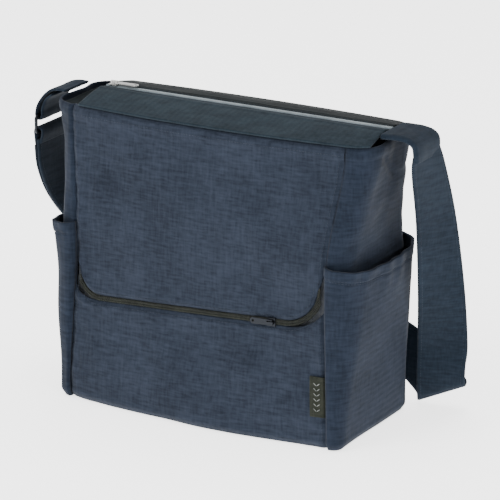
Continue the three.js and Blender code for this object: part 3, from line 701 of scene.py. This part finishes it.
def tab_band(name, path, thickness, width, nodes, round_end):
    """A padded tab along a path in the XZ plane, soft at its long edges."""
    count = len(path) - 1

    def place(across, along, face):
        i = int(round(along * count))
        here = Vector((path[i][0], 0, path[i][1]))
        after = path[min(i + 1, count)]
        before = path[max(i - 1, 0)]
        forward = Vector((after[0] - before[0], 0, after[1] - before[1])).normalized()
        up = Vector((forward.z, 0, -forward.x)) * (-1)
        edge = min(across, 1 - across) * width
        thick = thickness * (0.4 + 0.6 * math.sqrt(clamp(edge / 4, 0, 1)))
        shrink = 1 - round_end * near(1 - along, 0.18)
        y = mix(-0.5, 0.5, across) * width * shrink
        soft = 0.35 * ripple(here.x, y, here.z, 14)
        return here + Vector((0, y, 0)) + up * ((0.5 - face) * thick + soft)
    mesh = sheet_mesh(name, 30, count, place)
    piece = link(name, mesh, WEBBING, None, ())
    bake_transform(piece)
    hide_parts(*nodes)
    return piece


def smooth_path(corners, count):
    return [tuple(catmull([(x, 0, z) for x, z in corners], i / count))[::2] for i in range(count + 1)]


def right_tab():
    corners = [(193, 336), (204, 336.5), (216, 336.2), (225, 334.4), (231, 330), (232.6, 322), (231.6, 313)]
    tab_band("right_tab", smooth_path(corners, 60), 6.4, STRAP_WIDTH + 2,
             ["right_tab_stub", "right_strap_tab"], 0.06)


def left_tab():
    corners = [(-196, 331.5), (-206, 331.6), (-216, 329), (-225, 322), (-232, 311), (-235, 301),
               (-233, 295.6), (-228.6, 295.8), (-226.8, 301), (-226.5, 308), (-221, 319), (-213, 325.4)]
    tab_band("left_tab", smooth_path(corners, 90), 3.0, STRAP_WIDTH - 5,
             ["left_tab_stub", "left_ring_tab"], 0.0)


def ring_loop():
    low = RING_TOP - RING_DROP
    corners = [(RING_X - 3.6, 266), (RING_X - 4.4, 275), (RING_X - 4.9, low), (RING_X - 3.2, low + 3.8),
               (RING_X, low + 5.1), (RING_X + 3.2, low + 3.8), (RING_X + 4.9, low), (RING_X + 4.0, 275),
               (RING_X + 1.6, 268)]
    path = smooth_path(corners, 60)
    width = STRAP_WIDTH - 4

    def place(across, along, face):
        i = int(round(along * 60))
        after, before = path[min(i + 1, 60)], path[max(i - 1, 0)]
        forward = Vector((after[0] - before[0], 0, after[1] - before[1])).normalized()
        normal = Vector((forward.z, 0, -forward.x))
        here = Vector((path[i][0], mix(-0.5, 0.5, across) * width, path[i][1]))
        return here + normal * (0.5 - face) * 2.2
    mesh = sheet_mesh("ring_loop", 24, 60, place)
    link("ring_loop", mesh, WEBBING, "strap", ["strap_ring_loop"])


def wire_loop(name, corners, radius, material, body, nodes):
    """A round bar bent into a closed rectangle with rounded corners."""
    path = []
    for centre, start in corners:
        for k in range(9):
            angle = start + k / 8 * math.pi / 2
            path.append(centre + Vector((0, math.cos(angle), math.sin(angle))) * 3.2)
    work = bmesh.new()
    rings = []
    count = len(path)
    for i, here in enumerate(path):
        forward = (path[(i + 1) % count] - path[i - 1]).normalized()
        side = Vector((1, 0, 0))
        up = forward.cross(side)
        ring = []
        for k in range(16):
            angle = k / 16 * 2 * math.pi
            offset = (side * math.cos(angle) + up * math.sin(angle)) * radius
            ring.append(work.verts.new((here + offset) * MM))
        rings.append(ring)
    for i in range(count):
        first, second = rings[i], rings[(i + 1) % count]
        for k in range(16):
            n = (k + 1) % 16
            work.faces.new((first[k], first[n], second[n], second[k]))
    bmesh.ops.recalc_face_normals(work, faces=work.faces)
    mesh = bpy.data.meshes.new(name)
    work.to_mesh(mesh)
    work.free()
    return link(name, mesh, material, body, nodes)


def strap_ring():
    half_y, half_z = 29 - 3.2, RING_DROP / 2 - 3.2
    middle = Vector((RING_X, 0, RING_TOP - RING_DROP / 2))
    corners = []
    for sign_y, sign_z, start in ((1, 1, 0), (-1, 1, 0.5), (-1, -1, 1.0), (1, -1, 1.5)):
        corners.append((middle + Vector((0, sign_y * half_y, sign_z * half_z)), start * math.pi))
    wire_loop("ring_bar", corners, 1.9, GUNMETAL, "ring", ["strap_ring"])


# ------------------------------------------------------------ seams

def seam_stitching():
    for hand, side in ((-1, "left"), (1, "right")):
        path = []
        for i in range(121):
            z = mix(8, RIM - 6, i / 120)
            x = hand * (value_at(SEAM_HALF, z) - 4.5)
            path.append(Vector(front_point(x, z, front_swell(x, z) + 0.1)))
        body_rows = [p for p in path if not zip_line(p.x, 0) - 8 < p.z < LIP_HINGE + 10]
        low = [p for p in body_rows if p.z < LIP_HINGE - 20]
        high = [p for p in body_rows if p.z > LIP_HINGE]
        stitches(f"{side}_seam_low", low, Vector((0, -1, 0)), "bag", THREAD)
        stitches(f"{side}_seam_high", high, Vector((0, -1, 0)), "bag", THREAD)
    for name, side, body in (("zip_stitch_low", -1, "bag"), ("zip_stitch_high", 1, "pocket_lip")):
        path = []
        for p in front_zip_path(side * 7.2, 0):
            x = clamp(p.x, -zip_reach(8), zip_reach(8))
            path.append(Vector(front_point(x, p.z, front_swell(x, p.z) + 0.8)))
        stitches(name, path, Vector((0, -1, 0)), body, THREAD)
    rim = []
    for i in range(151):
        x = mix(-162, 162, i / 150)
        rim.append(Vector(front_point(x, RIM - 9, front_swell(x, RIM - 9) + 1.3)))
    stitches("rim_stitch", rim, Vector((0, -1, 0)), "bag", THREAD)
    for side, body in ((-1, "front_flap"), (1, "back_flap")):
        line = [Vector((x, side * 7.5, ZIP_TOP + 0.95)) for x in range(FLAP_LEFT + 3, FLAP_RIGHT - 2, 4)]
        stitches(f"top_zip_stitch_{body}", line, Vector((0, 0, 1)), body, THREAD)


# ------------------------------------------------------------ build

front_lower()
front_upper()
front_zip(-1, "bag", "front_zip_lower_coil")
front_zip(1, "pocket_lip", "front_zip_upper_coil")
woven_label()
side_panel(-1, "left_side")
side_panel(1, "right_side")
side_pocket(-1, "left")
side_pocket(1, "right")
back_panel()
base_panel()
top_flap(-1, "top_front_flap", BAND)
# painted shade: the back flap gets the near-black shade fabric, so the shade behind the zip ridge is painted
# into its colour
top_flap(1, "top_back_flap", PAINTED_SHADE_FABRIC)
top_zip(-1, "front_flap", "top_zip_front_coil")
top_zip(1, "back_flap", "top_zip_back_coil")
end_gusset()
strap_strip("strap", 0, 0, 1, "shoulder_strap", steps(420))
strap_strip("return_layer", STRAP_THICK + 0.8, ADJUSTER_ALONG - 0.012, 0.985, "strap_return_layer", steps(160))
right_tab()
left_tab()
ring_loop()
strap_ring()
seam_stitching()
dress("lining", LINING)
dress("front_inner_panel", LINING)
dress("base_board", BOARD)
dress("top_zip_slider", SILVER)
dress("top_zip_pull", SILVER)
dress("front_zip_slider", GUNMETAL)
dress("front_zip_pull", GUNMETAL)
dress("strap_adjuster", GUNMETAL)

# ------------------------------------------------------------ floor, light and camera

CAMERA_AZIMUTH, CAMERA_ELEVATION = 29.7, 18.2
CAMERA_DISTANCE, CAMERA_LENS = 3.288, 219.56
CAMERA_AIM = (0.0227, 0, 0.1782)


def studio():
    mesh = bpy.data.meshes.new("floor")
    mesh.from_pydata([(-9, -9, 0), (9, -9, 0), (9, 9, 0), (-9, 9, 0)], [], [(0, 1, 2, 3)])
    floor = bpy.data.objects.new("floor", mesh)
    bpy.context.scene.collection.objects.link(floor)
    material, nodes, links, principled = shader("floor_paper", 0.9)
    principled.inputs["Base Color"].default_value = (0.95, 0.95, 0.95, 1)
    principled.inputs["Emission Color"].default_value = (1, 1, 1, 1)
    principled.inputs["Emission Strength"].default_value = 2.3
    mesh.materials.append(material)
    world = bpy.data.worlds.new("studio")
    world.use_nodes = True
    world.node_tree.nodes["Background"].inputs["Color"].default_value = (1, 1, 1, 1)
    world.node_tree.nodes["Background"].inputs["Strength"].default_value = 1.15
    bpy.context.scene.world = world
    for name, place, size, power in (
        ("key", (-1.2, -2.2, 2.4), 1.4, 55),
        ("fill", (2.4, -1.4, 1.5), 1.8, 9),
        ("top", (0.0, 0.6, 2.6), 1.6, 35),
    ):
        light = bpy.data.lights.new(name, "AREA")
        light.size = size
        light.energy = power
        lamp = bpy.data.objects.new(name, light)
        lamp.location = place
        aim = Vector((0, 0, 0.15)) - Vector(place)
        lamp.rotation_euler = aim.to_track_quat("-Z", "Y").to_euler()
        bpy.context.scene.collection.objects.link(lamp)


def camera():
    azimuth, elevation = math.radians(CAMERA_AZIMUTH), math.radians(CAMERA_ELEVATION)
    back = Vector((math.sin(azimuth) * math.cos(elevation), -math.cos(azimuth) * math.cos(elevation),
                   math.sin(elevation)))
    data = bpy.data.cameras.new("camera")
    data.lens = CAMERA_LENS
    data.sensor_width = 36
    view = bpy.data.objects.new("camera", data)
    view.location = Vector(CAMERA_AIM) + back * CAMERA_DISTANCE
    view.rotation_euler = (-back).to_track_quat("-Z", "Y").to_euler()
    bpy.context.scene.collection.objects.link(view)
    bpy.context.scene.camera = view


studio()
camera()
